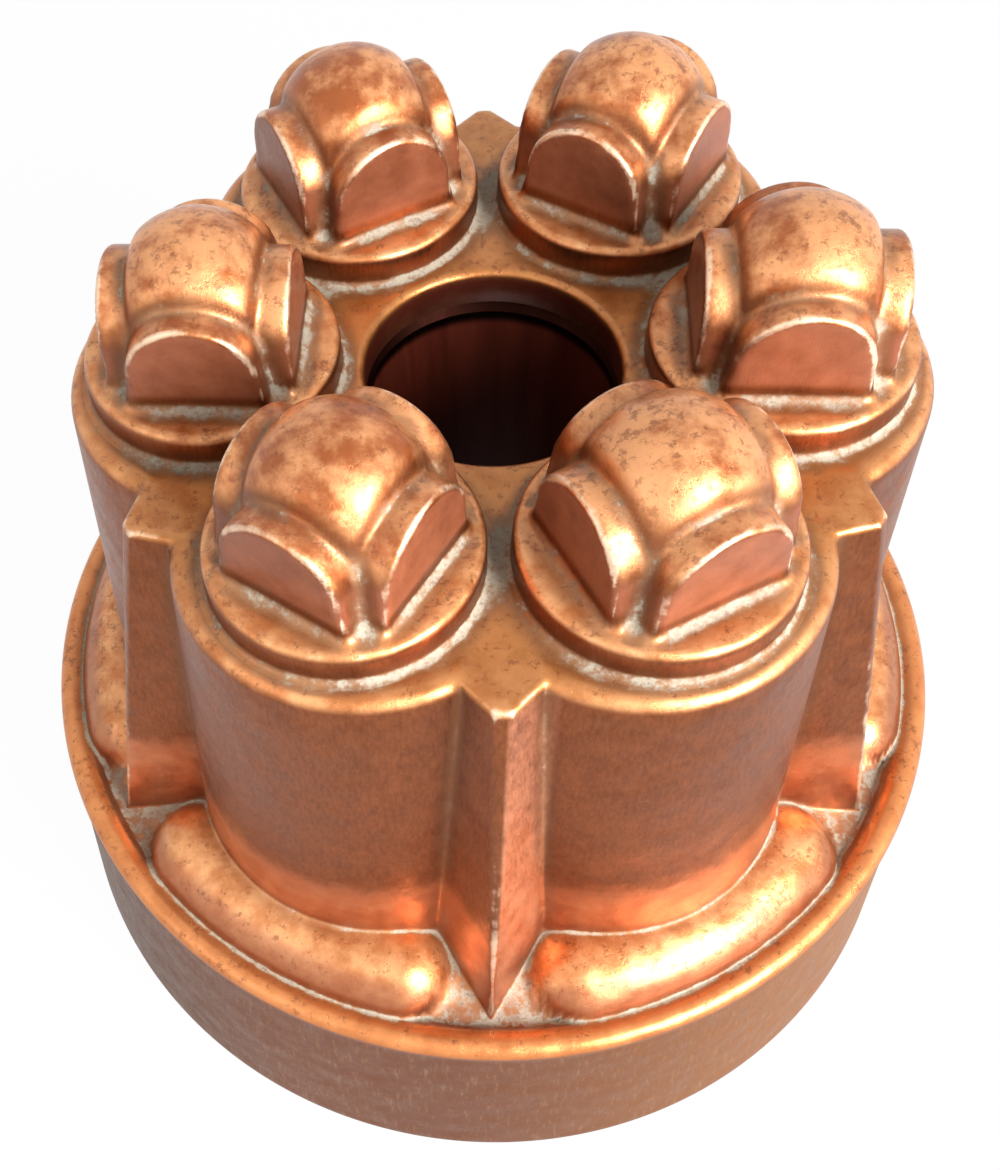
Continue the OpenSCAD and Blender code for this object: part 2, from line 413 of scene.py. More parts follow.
def tower_rows(fine, top, foot, foot_z):
    """Rows over the deck's edge and down the wall, as (angles, radius, height, heading)."""
    rows = []
    edge_z = DECK_Z - LOBE_EDGE
    reach = np.maximum(*wall_reach(top, edge_z))
    for inset in (3.2, 2.3) if fine else (3.2,):
        rows.append((top, reach - inset, DECK_Z + 0 * top, 90))
    for a in np.linspace(80, 0, 7 if fine else 3):
        r = reach - LOBE_EDGE + LOBE_EDGE * cos(radians(a))
        rows.append((top, r, edge_z + LOBE_EDGE * sin(radians(a)) + 0 * top, a))
    for share in np.linspace(0, 1, 16 if fine else 6)[1:]:
        z = (edge_z - WALL_TOP) + (foot_z + WALL_FOOT - edge_z + WALL_TOP) * share
        here = top + (foot - top) * share
        rows.append((here, np.maximum(*wall_reach(here, z)), z, 0))
    for rise, a in CREASE_RISES if fine else ((2.6, 0),):
        z = foot_z + rise
        rows.append((foot, np.maximum(*wall_reach(foot, z)), z, a))
    return rows


def base_rows(fine, foot, foot_r):
    """Rows out over the swag, over the bead and down the band."""
    rows = []
    shares = np.sin(np.linspace(0, pi / 2, 15 if fine else 5))
    shares = np.insert(shares, 1, (0.025, 0.06)) if fine else shares
    for share in shares:
        r = foot_r + (GROOVE_R - foot_r) * share
        rows.append((foot, r, base_top(r, foot), 45 + 45 * min(share / 0.3, 1)))
    for a in np.linspace(150, -35, 14 if fine else 4):
        r, z = BEAD_R + BEAD_ROUND * cos(radians(a)), BEAD_Z + BEAD_ROUND * sin(radians(a))
        rows.append((foot, r + 0 * foot, z + 0 * foot, min(a, STEEPEST)))
    for z in BAND_HEIGHTS if fine else (26, 14, 3, 0):
        rows.append((foot, NECK_R + 0 * foot, z + 0 * foot, 0))
    return rows


def net_rows(fine):
    """All rows of the net, from the deck to the mouth."""
    top, foot = columns_at(DECK_Z - LOBE_EDGE), columns_at(CREASE_Z + 4)
    foot_r, foot_z = foot_of_wall(foot)
    return tower_rows(fine, top, foot, foot_z) + base_rows(fine, foot, foot_r)


def half_net(fine, depth):
    """The net's points for half a lobe, in the slice's frame, as (rows, columns, 3)."""
    rows = net_rows(fine)
    fold = np.array([row[0] for row in rows])
    heading = np.array([[radians(row[3])] for row in rows]) + 0 * fold
    r = np.array([row[1] for row in rows])
    z = np.array([row[2] for row in rows])
    # A ray for the bead starts on the bead's own middle line.
    behind = np.where(z < BEAD_Z + 2.5, np.where(r > GROOVE_R + 0.05, BEAD_ROUND, BEHIND), BEHIND)
    behind = np.where(z < CREASE_Z - 0.5, BEHIND, behind)
    out, up = np.cos(heading), np.sin(heading)
    r0, z0 = r - behind * out, z - behind * up
    turn = FRONT + STEP / 2 + fold
    start = np.stack([r0 * np.cos(turn), r0 * np.sin(turn), z0], -1).reshape(-1, 3)
    along = np.stack([out * np.cos(turn), out * np.sin(turn), up], -1).reshape(-1, 3)
    found = meet(body_form, start, along, depth)
    return turned(found, -FRONT - STEP / 2).reshape(*fold.shape, 3)


def whole_net(half):
    """Both halves of a lobe's net, side by side."""
    other = half[:, :0:-1] * (1, -1, 1)
    return np.concatenate([other, half], 1)


outer_net = whole_net(half_net(True, 0.0))
inner_net = whole_net(half_net(False, WALL))
print("Outer net rows, columns:", outer_net.shape[:2], " inner:", inner_net.shape[:2])

# %% [markdown]
# ## A net for one dome
#
# Rays from a point below the plinth's top reach every part of the dome once. Each
# column is first walked finely. Then its rows are spread evenly along the way walked,
# where a turn of the surface counts as extra way, so edges and groins get more rows.

# %% The dome's net
DOME_EYE = np.array([0.0, 0.0, -15.0])
DOME_STEPS = 260
BEND_COST = 0.9
NEAR_POLE = pi / 2 - 0.004


def dome_net(columns, rows, depth):
    """Points of a dome's net, in the dome's own frame, as (rows, columns, 3)."""
    ring_r = PLINTH_R + COVE
    lowest = np.arctan2(-PLINTH_H - depth - DOME_EYE[2], ring_r)
    rise = np.linspace(lowest, NEAR_POLE, DOME_STEPS)
    spin = np.arange(columns) * tau / columns
    rise, spin = np.meshgrid(rise, spin, indexing="ij")
    along = np.stack([np.cos(rise) * np.cos(spin), np.cos(rise) * np.sin(spin), np.sin(rise)], -1)
    along = along.reshape(-1, 3)
    start = np.tile(DOME_EYE, (len(along), 1))
    walk = meet(dome_on_deck, start, along, depth).reshape(DOME_STEPS, columns, 3)
    way = np.diff(walk, axis=0)
    length = np.linalg.norm(way, axis=-1)
    heading = way / np.maximum(length[..., None], 1e-9)
    bend = np.zeros_like(length)
    bend[1:] = np.linalg.norm(np.diff(heading, axis=0), axis=-1)
    cost = np.vstack([np.zeros(columns), np.cumsum(length + BEND_COST * bend, axis=0)])
    net = np.empty((rows, columns, 3))
    for c in range(columns):
        wanted = np.linspace(0, cost[-1, c], rows)
        for axis in range(3):
            net[:, c, axis] = np.interp(wanted, cost[:, c], walk[:, c, axis])
    net[0, :, 0] = ring_r * np.cos(spin[0])
    net[0, :, 1] = ring_r * np.sin(spin[0])
    net[0, :, 2] = -PLINTH_H - depth
    return net


outer_dome = dome_net(columns=132, rows=62, depth=0.0)
inner_dome = dome_net(columns=48, rows=22, depth=WALL)
print("Dome height in the net:", round(float(outer_dome[..., 2].max()), 3), "mm")

# %% [markdown]
# ## Nets become meshes
#
# A net's neighbouring points make its faces. The nets are written in metres and with
# their faces pointing out of the metal, so the inner nets are turned over.

# %% Mesh from a net
def written(name, points, faces, flip=False):
    """A mesh in metres from points in millimetres."""
    if flip:
        faces = [face[::-1] for face in faces]
    mesh = bpy.data.meshes.new(name)
    mesh.from_pydata((points * MM).tolist(), [], faces)
    return mesh


def net_mesh(name, net, closed=False, pole=None, flip=False):
    rows, columns = net.shape[:2]
    points = net.reshape(-1, 3)
    index = np.arange(rows * columns).reshape(rows, columns)
    if closed:
        index = np.hstack([index, index[:, :1]])
    corners = [index[:-1, :-1], index[:-1, 1:], index[1:, 1:], index[1:, :-1]]
    faces = np.stack(corners, -1).reshape(-1, 4).tolist()
    if pole is not None:
        points = np.vstack([points, pole])
        last = index[-1]
        faces += [[last[k], last[k + 1], len(points) - 1] for k in range(len(last) - 1)]
    return written(name, points, faces, flip)


# %% [markdown]
# ## Geometry Nodes set the copies round the axis
#
# The same form was struck six times, so one lobe's net and one dome's are enough. A
# loop in Python could copy the points, but a small tree does it with named inputs
# that anyone can change later: how many copies, how far out, how high, and how far
# each is turned, as the real domes stand a few degrees off the line outwards.

# %% Expressions for node trees
class Wire:
    """A socket of a node tree. Python's + - * / on it add Math nodes."""

    def __init__(self, tree, socket=None):
        self.tree, self.socket = tree, socket

    def feed(self, node, sockets):
        """Links wires to a node's sockets, and sets plain values on them."""
        for name, value in sockets.items():
            if isinstance(value, Wire):
                self.tree.links.new(value.socket, node.inputs[name])
            else:
                node.inputs[name].default_value = value

    def node(self, kind, settings=None, sockets=None, out=0):
        """Adds a node: its settings first, then what feeds its sockets."""
        made = self.tree.nodes.new(kind)
        for name, value in (settings or {}).items():
            setattr(made, name, value)
        self.feed(made, sockets or {})
        return Wire(self.tree, made.outputs[out] if made.outputs else None)

    def maths(self, operation, first, second=0.0, clamp=False):
        settings = {"operation": operation, "use_clamp": clamp}
        return self.node("ShaderNodeMath", settings, {0: first, 1: second})

    def __add__(self, other):
        return self.maths("ADD", self, other)

    def __sub__(self, other):
        return self.maths("SUBTRACT", self, other)

    def __rsub__(self, other):
        return self.maths("SUBTRACT", other, self)

    def __mul__(self, other):
        return self.maths("MULTIPLY", self, other)

    def __truediv__(self, other):
        return self.maths("DIVIDE", self, other)

    __radd__ = __add__
    __rmul__ = __mul__

    def cos(self):
        return self.maths("COSINE", self)

    def sin(self):
        return self.maths("SINE", self)

    def clamped(self):
        return self.maths("ADD", self, 0.0, clamp=True)


# %% The tree that repeats a piece round the axis
def build_round_the_axis():
    tree = bpy.data.node_groups.new("round_the_axis", "GeometryNodeTree")
    face = tree.interface
    face.new_socket("Geometry", in_out="INPUT", socket_type="NodeSocketGeometry")
    for name in ("Copies", "Distance", "Height", "Turn", "Finish"):
        kind = {"Copies": "Int", "Finish": "Material"}.get(name, "Float")
        face.new_socket(name, in_out="INPUT", socket_type="NodeSocket" + kind)
    face.new_socket("Geometry", in_out="OUTPUT", socket_type="NodeSocketGeometry")
    given = tree.nodes.new("NodeGroupInput")
    wires = {socket.name: Wire(tree, socket) for socket in given.outputs if socket.name}
    start = Wire(tree)
    index = start.node("GeometryNodeInputIndex")
    angle = (index + 0.5) / wires["Copies"] * tau + FRONT
    out = wires["Distance"]
    place = {"X": angle.cos() * out, "Y": angle.sin() * out, "Z": wires["Height"]}
    place = start.node("ShaderNodeCombineXYZ", sockets=place)
    spots = start.node("GeometryNodePoints", sockets={"Count": wires["Copies"], "Position": place})
    turn = start.node("ShaderNodeCombineXYZ", sockets={"Z": angle + wires["Turn"]})
    set_out = {"Points": spots, "Instance": wires["Geometry"], "Rotation": turn}
    copies = start.node("GeometryNodeInstanceOnPoints", sockets=set_out)
    real = start.node("GeometryNodeRealizeInstances", sockets={"Geometry": copies})
    dressed = {"Geometry": real, "Material": wires["Finish"]}
    finished = start.node("GeometryNodeSetMaterial", sockets=dressed)
    start.node("NodeGroupOutput", sockets={0: finished})
    return tree


round_the_axis = build_round_the_axis()


def repeated(mesh, finish, distance=0.0, height=0.0, turn=0.0):
    """The mesh set round the axis once for each lobe, as one plain mesh."""
    holder = bpy.data.objects.new(mesh.name, mesh)
    bpy.context.scene.collection.objects.link(holder)
    modifier = holder.modifiers.new("round the axis", "NODES")
    modifier.node_group = round_the_axis
    face = round_the_axis.interface.items_tree
    sockets = {socket.name: socket.identifier for socket in face if socket.in_out == "INPUT"}
    modifier[sockets["Copies"]] = FOLD
    modifier[sockets["Distance"]] = distance * MM
    modifier[sockets["Height"]] = height * MM
    modifier[sockets["Turn"]] = turn
    modifier[sockets["Finish"]] = finish
    bpy.context.view_layer.update()
    seen = holder.evaluated_get(bpy.context.evaluated_depsgraph_get())
    made = bpy.data.meshes.new_from_object(seen)
    bpy.data.objects.remove(holder)
    print(f"{mesh.name}: {len(made.vertices)} points in {FOLD} copies")
    return made


# %% [markdown]
# ## The flat deck between the domes
#
# The deck is flat, so it needs only its outlines: the lobes' edge, the round foot of
# each plinth and the hole. A Delaunay triangulation joins them, with a loose scatter
# of points between so that the colour worked out at each point stays smooth.

# %% Deck
HOLE_POINTS = 144
DECK_REACH = 52
OFF_EDGE = 0.975
OFF_HOLE = 0.6


def deck_faces(outline, holes, z, spacing):
    """Flat triangles inside the outline and outside the holes, each (centre, ring)."""
    rings = [outline] + [ring for _, ring in holes]
    points, edges = [], []
    for ring in rings:
        first = len(points)
        points += [Vector(pair) for pair in ring.tolist()]
        edges += [(first + k, first + (k + 1) % len(ring)) for k in range(len(ring))]
    grid = np.arange(-DECK_REACH, DECK_REACH, spacing)
    gx, gy = np.meshgrid(grid, grid)
    gx = gx + spacing / 2 * (np.arange(len(grid)) % 2)[:, None]
    scatter = np.column_stack([gx.ravel(), gy.ravel()])
    clear = inside_ring(scatter, outline * OFF_EDGE)
    for centre, ring in holes:
        size = np.linalg.norm(ring[0] - centre)
        clear &= np.linalg.norm(scatter - centre, axis=1) > size + spacing * OFF_HOLE
    points += [Vector(pair) for pair in scatter[clear].tolist()]
    flat, _, faces, _, _, _ = delaunay_2d_cdt(points, edges, [], 0, 1e-5)
    flat = np.array([(p.x, p.y) for p in flat])
    middles = np.array([flat[list(face)].mean(0) for face in faces])
    keep = inside_ring(middles, outline)
    for centre, ring in holes:
        keep &= ~inside_ring(middles, ring)
    faces = [list(face) for face, good in zip(faces, keep) if good]
    return np.column_stack([flat, np.full(len(flat), z)]), faces


def inside_ring(points, ring):
    """Whether each point lies inside a ring, by the crossings of a ray to the right."""
    inside = np.zeros(len(points), bool)
    for (x1, y1), (x2, y2) in zip(ring, np.roll(ring, -1, axis=0)):
        spans = (y1 > points[:, 1]) != (y2 > points[:, 1])
        cross = x1 + (points[:, 1] - y1) * (x2 - x1) / np.where(y2 == y1, 1e-12, y2 - y1)
        inside ^= spans & (points[:, 0] < cross)
    return inside


def unit_ring():
    """The hole's outline with radius 1."""
    spin = np.arange(HOLE_POINTS) * tau / HOLE_POINTS
    return np.column_stack([np.cos(spin), np.sin(spin)])


def deck_mesh(name, net, dome, z, hole_r, spacing, flip=False):
    lobe_edge = [turned(net[0, :-1], lobe_angle(i))[:, :2] for i in range(FOLD)]
    holes = []
    for i in range(FOLD):
        centre = dome_foot(i)[:2]
        holes.append((centre, turned(dome[0], dome_turn(i))[:, :2] + centre))
    holes.append((np.zeros(2), hole_r * unit_ring()))
    points, faces = deck_faces(np.concatenate(lobe_edge), holes, z, spacing)
    print(f"{name}: {len(faces)} triangles")
    return written(name, points, faces, flip)


# %% [markdown]
# ## Rim and collar
#
# At the mouth the sheet simply ends, with its cut edge worn a little round. At the
# hole the deck is turned down into a short collar, on which the tube is soldered.

# %% Rim and collar nets
RIM_ROUND = 0.35
RIM_EASE = 0.12
CUT_EDGE = 0.3


def rim_net(outside, inside):
    """From the band's last outside row, round the worn edge, to the inside row."""
    spin = np.arctan2(outside[:, 1], outside[:, 0])
    rows = [outside]
    for inset, z in ((RIM_EASE, 0.1), (RIM_ROUND, 0.0)):
        r = MOUTH_R - inset
        rows.append(np.column_stack([r * np.cos(spin), r * np.sin(spin), np.full(len(spin), z)]))
    return np.array(rows + [inside])


def collar_net():
    """From the deck round the lip, down the collar and up its outside."""
    lip_r, lip_z = HOLE_R + HOLE_EDGE, DECK_Z - HOLE_EDGE
    bend = np.linspace(pi / 2, pi, 7)
    profile = [(lip_r + HOLE_EDGE * cos(a), lip_z + HOLE_EDGE * sin(a)) for a in bend]
    low, out_r = DECK_Z - COLLAR_H, HOLE_R + WALL
    profile += [(HOLE_R, low + CUT_EDGE), (HOLE_R + CUT_EDGE, low), (out_r, low)]
    profile += [(out_r, DECK_Z - WALL)]
    ring = np.column_stack([unit_ring(), np.ones(HOLE_POINTS)])
    return np.array([ring * (r, r, z) for r, z in profile])


outer_net[0, :, 2] = DECK_Z
inner_net[0, :, 2] = DECK_Z - WALL
inner_net[-1, :, 2] = 0.0

# %% [markdown]
# ## The skin in one piece
#
# All the nets are gathered into one closed mesh. What faces out is copper, and what
# faces in is tinned. Separate pieces would each need a finish that matches at the
# seams, so points that lie on each other are welded instead, and no seam is open.

# %% Gathering the skin
copper = bpy.data.materials.new("worn_copper")
tin = bpy.data.materials.new("old_tinning")
WELD = 2e-6
SLIVER = 1e-7


def gathered(name, parts):
    """One welded mesh from (mesh, slot) parts. Slot 0 is copper and slot 1 is tin."""
    points, faces, slots = [], [], []
    for mesh, slot in parts:
        first = len(points)
        points += [tuple(v.co) for v in mesh.vertices]
        faces += [[first + k for k in polygon.vertices] for polygon in mesh.polygons]
        slots += [slot] * len(mesh.polygons)
    whole = bpy.data.meshes.new(name)
    whole.from_pydata(points, [], faces)
    whole.polygons.foreach_set("material_index", slots)
    shape = bmesh.new()
    shape.from_mesh(whole)
    bmesh.ops.remove_doubles(shape, verts=shape.verts, dist=WELD)
    bmesh.ops.dissolve_degenerate(shape, edges=shape.edges, dist=SLIVER)
    open_edges = sum(1 for edge in shape.edges if not edge.is_manifold)
    volume = shape.calc_volume(signed=True) / MM**3
    shape.to_mesh(whole)
    shape.free()
    for finish in (copper, tin):
        whole.materials.append(finish)
    whole.polygons.foreach_set("use_smooth", [True] * len(whole.polygons))
    triangles = sum(len(polygon.vertices) - 2 for polygon in whole.polygons)
    print(f"{name}: {triangles} triangles, {open_edges} open edges, {volume:.0f} mm3")
    return whole


def outside_parts():
    lobes = net_mesh("lobes", outer_net, flip=True)
    domes = net_mesh("domes", outer_dome, closed=True, pole=(0, 0, DOME_H))
    rim = net_mesh("rim", rim_net(outer_net[-1], inner_net[-1]), flip=True)
    deck = deck_mesh("deck", outer_net, outer_dome, DECK_Z, HOLE_R + HOLE_EDGE, 1.6)
    collar = net_mesh("collar", collar_net(), closed=True)
    lobes, domes = repeated(lobes, copper), repeated(domes, copper, DOME_D, PLINTH_Z, TURN)
    return [lobes, domes, deck, collar, repeated(rim, copper)]


def inside_parts():
    under = DECK_Z - WALL
    lobes = net_mesh("lobes_inside", inner_net)
    domes = net_mesh("domes_inside", inner_dome, closed=True, pole=(0, 0, DOME_H - WALL), flip=True)
    deck = deck_mesh("deck_inside", inner_net, inner_dome, under, HOLE_R + WALL, 5.0, flip=True)
    return [repeated(lobes, tin), repeated(domes, tin, DOME_D, PLINTH_Z, TURN), deck]


parts = [(mesh, 0) for mesh in outside_parts()] + [(mesh, 1) for mesh in inside_parts()]
skin = gathered("mould_skin", parts)

# %% [markdown]
# ## What the finish follows
#
# Dried polish stays where a cloth can't reach, and what stands out gets a painted highlight.
# Both can be asked of the formula. Five feelers go out from each point, one straight
# and four slanting. Over a flat each is as far from the metal as it is high. In a
# hollow they end nearer to it, and feelers into the metal do so under an edge.
# The answers are kept on the mesh's points, with how far each faces up. A shader's own
# pointiness or occlusion would be simpler, but the one reads only the nearest faces and
# the other slows every render.

# %% Hollows, edges and facing
FEELER_SLANT = radians(60)
NEAR = 1.0
WIDE = 2.6
SIDEWAYS = (0.31, 0.17, 0.94)


def holed_form(p):
    """The outer skin with the hole through the deck."""
    hole = HOLE_R - np.hypot(p[:, 0], p[:, 1])
    return round_edge(mould_form(p), hole, HOLE_EDGE)


def closed_in(points, normals, reach, side):
    """0 on a flat and towards 1 in a corner, on the air's side (1) or the metal's (-1)."""
    across = np.cross(normals, SIDEWAYS)
    across /= np.linalg.norm(across, axis=1)[:, None]
    other = np.cross(normals, across)
    feelers = [(normals, 1.0)]
    for k in range(4):
        slant = (cos(k * pi / 2) * across + sin(k * pi / 2) * other) * sin(FEELER_SLANT)
        feelers.append((normals * cos(FEELER_SLANT) + slant, cos(FEELER_SLANT)))
    total = np.zeros(len(points))
    for heading, rise in feelers:
        near = side * holed_form(points + side * reach * heading)
        total += np.clip(1 - near / (reach * rise), 0, 1)
    return total / len(feelers)


def kept_on(mesh, name, values):
    attribute = mesh.attributes.new(name, "FLOAT", "POINT")
    attribute.data.foreach_set("value", values.astype(np.float32))
    print(f"{name}: mean {values.mean():.3f}, greatest {values.max():.3f}")


def mark_surface(mesh):
    count = len(mesh.vertices)
    points = np.empty(count * 3)
    normals = np.empty(count * 3)
    mesh.vertices.foreach_get("co", points)
    mesh.vertex_normals.foreach_get("vector", normals)
    points, normals = points.reshape(-1, 3) / MM, normals.reshape(-1, 3)
    kept_on(mesh, "crease", closed_in(points, normals, NEAR, 1))
    kept_on(mesh, "hollow", closed_in(points, normals, WIDE, 1))
    kept_on(mesh, "edge", closed_in(points, normals, NEAR, -1))
    kept_on(mesh, "up", np.clip(normals[:, 2], -1, 1))


mark_surface(skin)
mould = bpy.data.objects.new("mould_skin", skin)
bpy.context.scene.collection.objects.link(mould)
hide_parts("mould_body")
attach(mould, "root")


# %% [markdown]
# ## Colours
#
# Colours are written as they look on a screen, from 0 to 255, and turned into the
# linear values that a shader works with.

# %% Colour helpers
def screen(red, green, blue):
    """A screen colour as a shader's linear colour."""
    linear = []
    for value in (red, green, blue):
        share = value / 255
        linear.append(share / 12.92 if share <= 0.04045 else ((share + 0.055) / 1.055) ** 2.4)
    return (*linear, 1.0)


def blend(share, first, second):
    """Colour first where share is 0 and second where it is 1."""
    settings = {"data_type": "RGBA", "clamp_factor": True}
    return share.node("ShaderNodeMix", settings, {0: share, 6: first, 7: second}, out=2)


def ramp(value, low, high):
    """0 below low, 1 above high, and smooth between."""
    settings = {"interpolation_type": "SMOOTHSTEP"}
    sockets = {"Value": value, "From Min": low, "From Max": high}
    return value.node("ShaderNodeMapRange", settings, sockets)


def noise(place, scale, detail=3.0, roughness=0.55):
    sockets = {"Vector": place, "Scale": scale, "Detail": detail, "Roughness": roughness}
    return place.node("ShaderNodeTexNoise", {"noise_dimensions": "3D"}, sockets)


def kept(w, name):
    """A value kept on the mesh."""
    settings = {"attribute_name": name, "attribute_type": "GEOMETRY"}
    return w.node("ShaderNodeAttribute", settings, out=2)


def stretched(place, by):
    return place.node("ShaderNodeVectorMath", {"operation": "MULTIPLY"}, {0: place, 1: by})


def in_mm(w):
    """The point's Object coordinates in millimetres."""
    return stretched(w.node("ShaderNodeTexCoord", out=3), (1 / MM, 1 / MM, 1 / MM))


def along_axes(place):
    """The three numbers of a vector, as wires."""
    split = place.node("ShaderNodeSeparateXYZ", sockets={0: place}).socket.node
    return [Wire(place.tree, output) for output in split.outputs]


def emptied(owner):
    """The empty node tree of a material or a world."""
    owner.use_nodes = True
    owner.node_tree.nodes.clear()
    return Wire(owner.node_tree)


def new_tree(material):
    """The material's empty tree and its Principled shader."""
    w = emptied(material)
    shader = w.tree.nodes.new("ShaderNodeBsdfPrincipled")
    w.node("ShaderNodeOutputMaterial", sockets={"Surface": Wire(w.tree, shader.outputs[0])})
    return w, shader


# %% [markdown]
# ## Worn copper
#
# Old copper that is polished by hand is golden where the cloth reaches and brown on the
# steep walls. Here faces that look up are also painted golden and steep faces brown, as a
# painted reflection of a bright room above. The foot of each wall is painted lighter, as
# a painted reflection of the ledge. The polish dries pale in the corners, and the hollows
# round it are made darker brown. A painted texture could hold this, but it would need
# pictures. Here each layer is a mask from the point's place and from the values kept on
# the mesh, so it follows the form and stays sharp at any size.

# %% What the copper's layers share
class Spot:
    """A point of the copper: where it lies, how it is shaped and faces, and noises of several sizes.
    """

    def __init__(self, w):
        self.mm = in_mm(w)
        self.right, self.back, self.height = along_axes(self.mm)
        flat = stretched(self.mm, (1, 1, 0))
        self.far = w.node("ShaderNodeVectorMath", {"operation": "LENGTH"}, {0: flat}, out=1)
        self.crease, self.hollow = kept(w, "crease"), kept(w, "hollow")
        self.edge, self.up = kept(w, "edge"), kept(w, "up")
        self.broad = noise(self.mm, 0.06, 2.0)
        self.patch = noise(self.mm, 0.3, 5.0, 0.6)
        self.smear = noise(self.mm, 0.4, 3.0, 0.5)
        self.grain = noise(self.mm, 1.8, 4.0, 0.65)
        self.pits = noise(self.mm, 0.8, 6.0, 0.75)
        self.brushed = noise(stretched(self.mm, (1.0, 1.0, 0.3)), 2.2, 4.0, 0.7)
        self.top = ramp(self.up, 0.15, 0.8)
        self.high = 0.2 + ramp(self.height, LEDGE_Z + 12, LEDGE_Z + 22) * 0.8
        self.on_dome = ramp(self.height, PLINTH_Z + 1.3, PLINTH_Z + 2.5)
        self.face = self.on_dome * ramp(self.up, 0.4, 0.1)


def patchy(spot, dull, bright):
    """Two colours in patches a few millimetres wide."""
    return blend(spot.patch, dull, bright)


# %% Walls and tops, with painted reflections and painted light
DARK_WALL, LIGHT_WALL = screen(120, 66, 38), screen(152, 88, 54)
DULL_PAINTED_REFLECTION, BRIGHT_PAINTED_REFLECTION = screen(184, 102, 64), screen(232, 158, 114)
DULL_GOLD, BRIGHT_GOLD = screen(196, 118, 64), screen(236, 170, 114)
LIT_FLANK_PAINT = screen(190, 124, 92)


def painted_lit_flank(spot):
    """The front pilaster's right flank, painted lighter unevenly as painted light from the key."""
    across = ramp(spot.right, 0.2, 0.7) * ramp(spot.right, 6.2, 5.2)
    out = ramp(spot.back, -43.0, -45.0) * ramp(spot.height, LEDGE_Z, LEDGE_Z + 6)
    uneven = ramp(spot.brushed * 0.5 + spot.patch * 0.5, 0.1, 0.8)
    return across * out * (1.0 - spot.top) * uneven


def walls_and_tops(spot, lit_flank_mask):
    brush = ramp(spot.brushed * 0.6 + spot.patch * 0.4, 0.3, 0.7)
    wall = blend(brush, DARK_WALL, LIGHT_WALL)
    # Painted reflection: the foot of each wall is painted lighter, as if mirroring the ledge, with a
    # ragged border.
    border = spot.height + (spot.patch - 0.5) * 9.0
    painted_ledge_reflection = ramp(border, LEDGE_Z + 16.5, LEDGE_Z + 11.5) * ramp(spot.far, 36.0, 44.0)
    wall = blend(painted_ledge_reflection * 0.75, wall, patchy(spot, DULL_PAINTED_REFLECTION, BRIGHT_PAINTED_REFLECTION))
    # Painted light: the front pilaster's right flank is painted lighter.
    wall = blend(lit_flank_mask, wall, LIT_FLANK_PAINT)
    # Painted reflection: faces that look up are painted golden, as if mirroring a bright room above,
    # and steep walls keep the browner colour.
    painted_top_gold = blend(ramp(spot.patch, 0.3, 0.7), DULL_GOLD, BRIGHT_GOLD)
    return blend(spot.top, wall, painted_top_gold)


# %% Swags, shoulder, deck and domes
SWAG_PAINTED_SHADE = screen(158, 92, 62)
DULL_SHOULDER, BRIGHT_SHOULDER = screen(190, 108, 54), screen(236, 154, 90)
DULL_DECK, BRIGHT_DECK = screen(146, 86, 38), screen(212, 140, 72)
DULL_DOME, BRIGHT_DOME = screen(168, 90, 44), screen(234, 164, 110)
DULL_FACE, BRIGHT_FACE = screen(110, 54, 30), screen(174, 106, 76)


def with_base(spot, colour):
    # Painted shade: the swag's outer lower side is painted darker.
    side = ramp(spot.far, SWAG_D + 2.4, SWAG_D + 4.4)
    side = side * ramp(spot.far, CREASE_R + 0.3, CREASE_R - 0.1)
    side = side * ramp(spot.height, LEDGE_Z + 2.5, LEDGE_Z + 1.0)
    colour = blend(side * 0.65, colour, SWAG_PAINTED_SHADE)
    shoulder = ramp(spot.far, CREASE_R, CREASE_R + 0.6) * ramp(spot.height, BEAD_Z, BEAD_Z + 0.8)
    return blend(shoulder * 0.85, colour, patchy(spot, DULL_SHOULDER, BRIGHT_SHOULDER))


def with_crown(spot, colour):
    deck = ramp(spot.height, DECK_Z + 0.4, DECK_Z + 0.1) * ramp(spot.far, 51.0, 40.0)
    deck = deck * ramp(spot.height, DECK_Z - 1.0, DECK_Z - 0.5)
    colour = blend(deck * 0.8, colour, patchy(spot, DULL_DECK, BRIGHT_DECK))
    tone = ramp(spot.broad + (spot.patch - 0.5) * 1.2, 0.3, 0.7)
    colour = blend(spot.on_dome * spot.top, colour, blend(tone, DULL_DOME, BRIGHT_DOME))
    # Painted shade: the steep faces of the domes are painted darker than their tops.
    return blend(spot.face * 0.9, colour, patchy(spot, DULL_FACE, BRIGHT_FACE))


# %% Band and collar
BAND_FRONT, BAND_PAINTED_LIGHT, BAND_PAINTED_SHADE = screen(124, 74, 48), screen(156, 100, 56), screen(72, 58, 46)
BAND_STREAK = screen(200, 152, 106)
COLLAR_INSIDE = screen(84, 34, 22)


def band_mask(spot):
    below = ramp(spot.height, BEAD_Z + 0.7, BEAD_Z - 0.3)
    return below * ramp(spot.far, NECK_R - 0.4, NECK_R + 0.2) * ramp(spot.up, 0.5, 0.2)


def collar_mask(spot):
    below = ramp(spot.height, DECK_Z - 0.3, DECK_Z - 1.5)
    above = ramp(spot.height, DECK_Z - 6.5, DECK_Z - 5.5)
    return below * above * ramp(spot.far, HOLE_R + 0.6, HOLE_R + 0.2)


def band_colour(spot):
    """Browner at the front, golden to the right as painted light and dull to the left as painted
    shade, with fine streaks.
    """
    streak = noise(stretched(spot.mm, (1.0, 1.0, 0.1)), 1.8, 5.0, 0.7)
    band = blend(ramp(spot.right, -10.0, 45.0), BAND_FRONT, BAND_PAINTED_LIGHT)
    band = blend(ramp(streak, 0.5, 0.75) * 0.35, band, BAND_STREAK)
    return blend(ramp(spot.right, -25.0, -62.0) * 0.6, band, BAND_PAINTED_SHADE)


